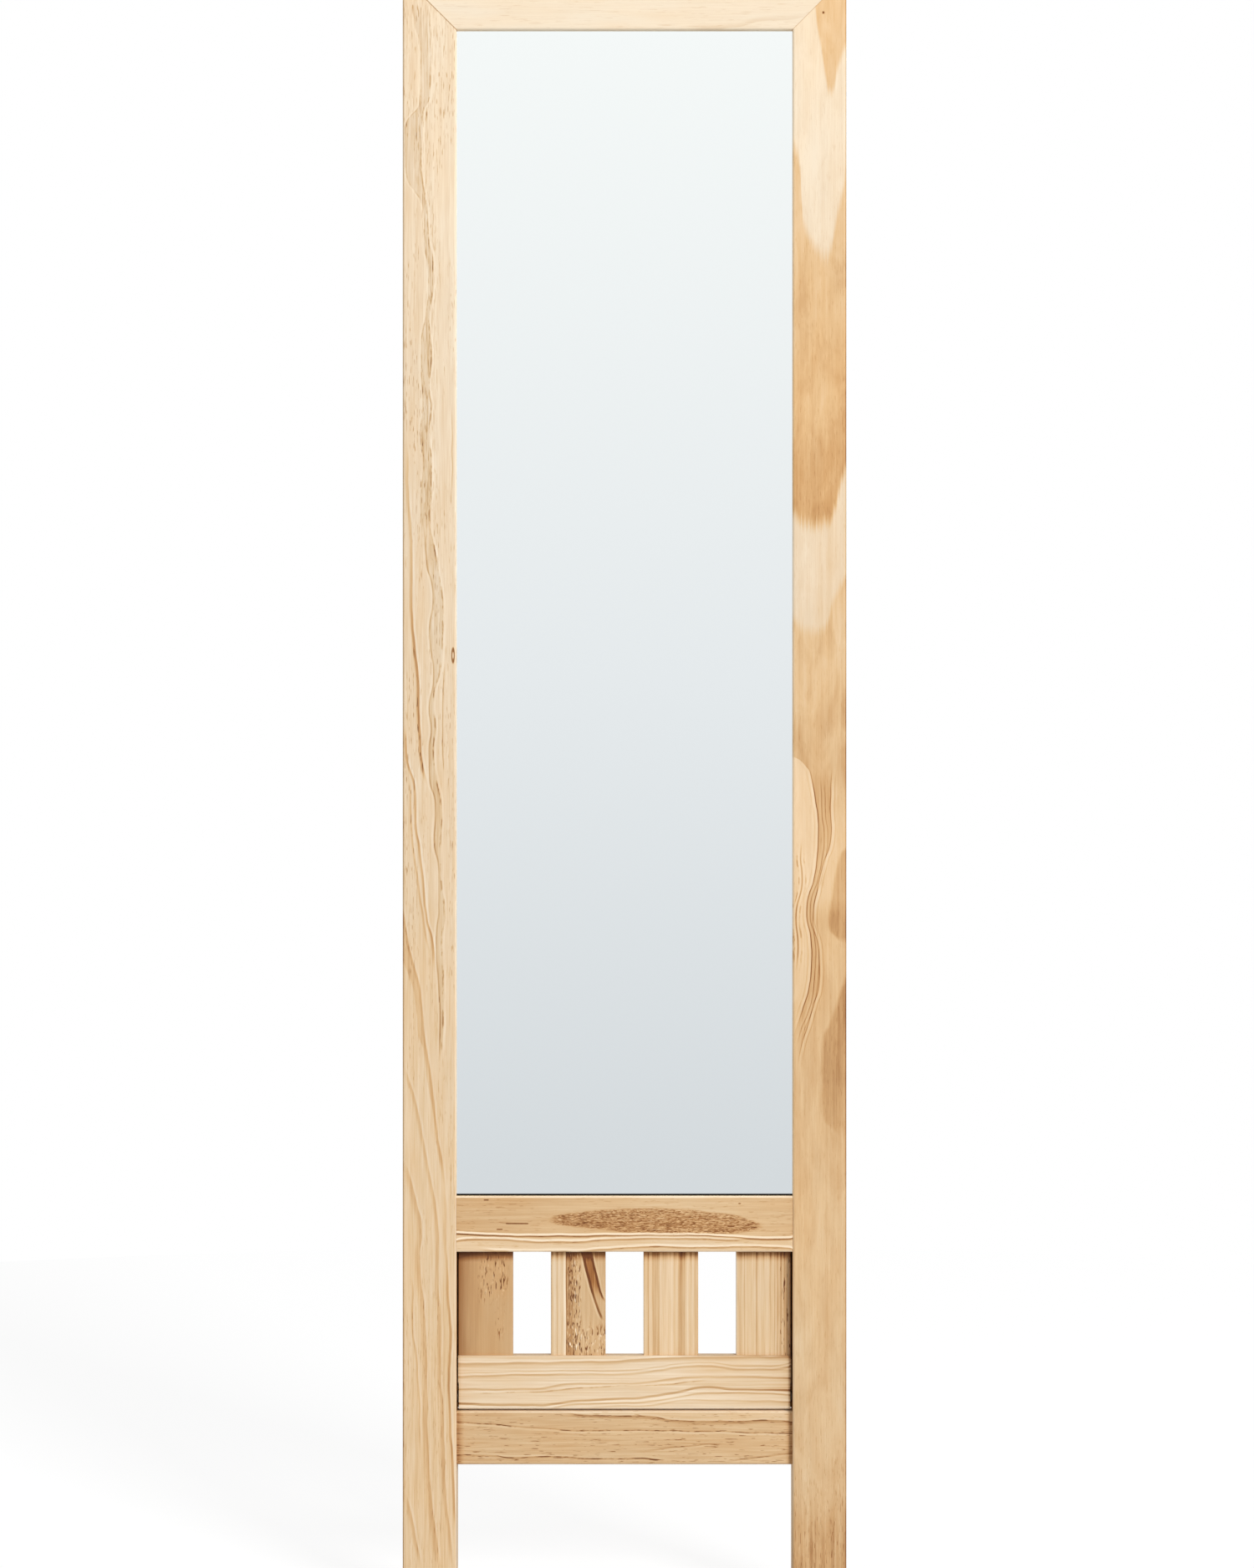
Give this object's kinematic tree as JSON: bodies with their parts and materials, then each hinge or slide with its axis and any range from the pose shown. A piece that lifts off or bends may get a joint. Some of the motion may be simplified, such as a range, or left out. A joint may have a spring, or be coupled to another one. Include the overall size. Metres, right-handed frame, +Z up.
{
  "type": "wall mirror with fold-down shelf",
  "caption": "Tall narrow mirror in a mitred pine frame with legs, and a slatted shelf below the glass that folds down to the front.",
  "frame": {"origin": "middle of the footprint, on the floor under the legs", "axes": "+X to the right as seen from the front, -Y to the front, out of the glass, +Z up"},
  "size_m": [0.38, 0.034, 1.4],
  "materials": {
    "left_stile_pine": "clear matt lacquer on pine, cream going golden towards the foot",
    "right_stile_pine": "clear matt lacquer on pine, cream with soft tan flames",
    "top_rail_pine": "clear matt lacquer on pale pine",
    "mid_rail_pine": "clear matt lacquer on tan pine with a dark fibrous figure",
    "lower_rail_pine": "clear matt lacquer on tan pine",
    "shelf_rail_pine": "clear matt lacquer on cream pine with wavy grain",
    "slat_1_pine": "clear matt lacquer on brown flecked pine",
    "slat_2_pine": "clear matt lacquer on pine, cream at one side and brown with dark flecks at the other",
    "slat_3_pine": "clear matt lacquer on straight-grained pine",
    "slat_4_pine": "clear matt lacquer on straight-grained pine",
    "bead_pine": "clear matt lacquer on plain pine",
    "beech": "bare beech dowel",
    "mirror": "silvered float glass",
    "hardboard": "brown pressed hardboard",
    "steel": "zinc-plated steel, slightly dull"
  },
  "bodies": {
    "frame": {"left_stile": "left_stile_pine", "right_stile": "right_stile_pine", "top_rail": "top_rail_pine", "mid_rail": "mid_rail_pine", "lower_rail": "lower_rail_pine", "mirror_glass": "mirror", "backing_board": "hardboard", "left_bead": "bead_pine", "right_bead": "bead_pine", "top_bead": "bead_pine", "bottom_bead": "bead_pine", "bead_pins": "steel", "left_pivot_pin": "steel", "right_pivot_pin": "steel", "left_pivot_washer": "steel", "right_pivot_washer": "steel", "stop_batten": "bead_pine", "batten_dowels": "beech", "left_mitre_dowels": "beech", "right_mitre_dowels": "beech", "mid_rail_dowels": "beech", "lower_rail_dowels": "beech", "left_hanger_plate": "steel", "right_hanger_plate": "steel", "hanger_screws": "steel"},
    "shelf": {"shelf_rail": "shelf_rail_pine", "shelf_slat_1": "slat_1_pine", "shelf_slat_2": "slat_2_pine", "shelf_slat_3": "slat_3_pine", "shelf_slat_4": "slat_4_pine"}
  },
  "joints": [
    {"name": "shelf_pivot", "type": "hinge", "parent": "frame", "child": "shelf", "pos_m": [0, -0.002, 0.1811], "axis": [1, 0, 0], "range_deg": [0, 90]}
  ]
}
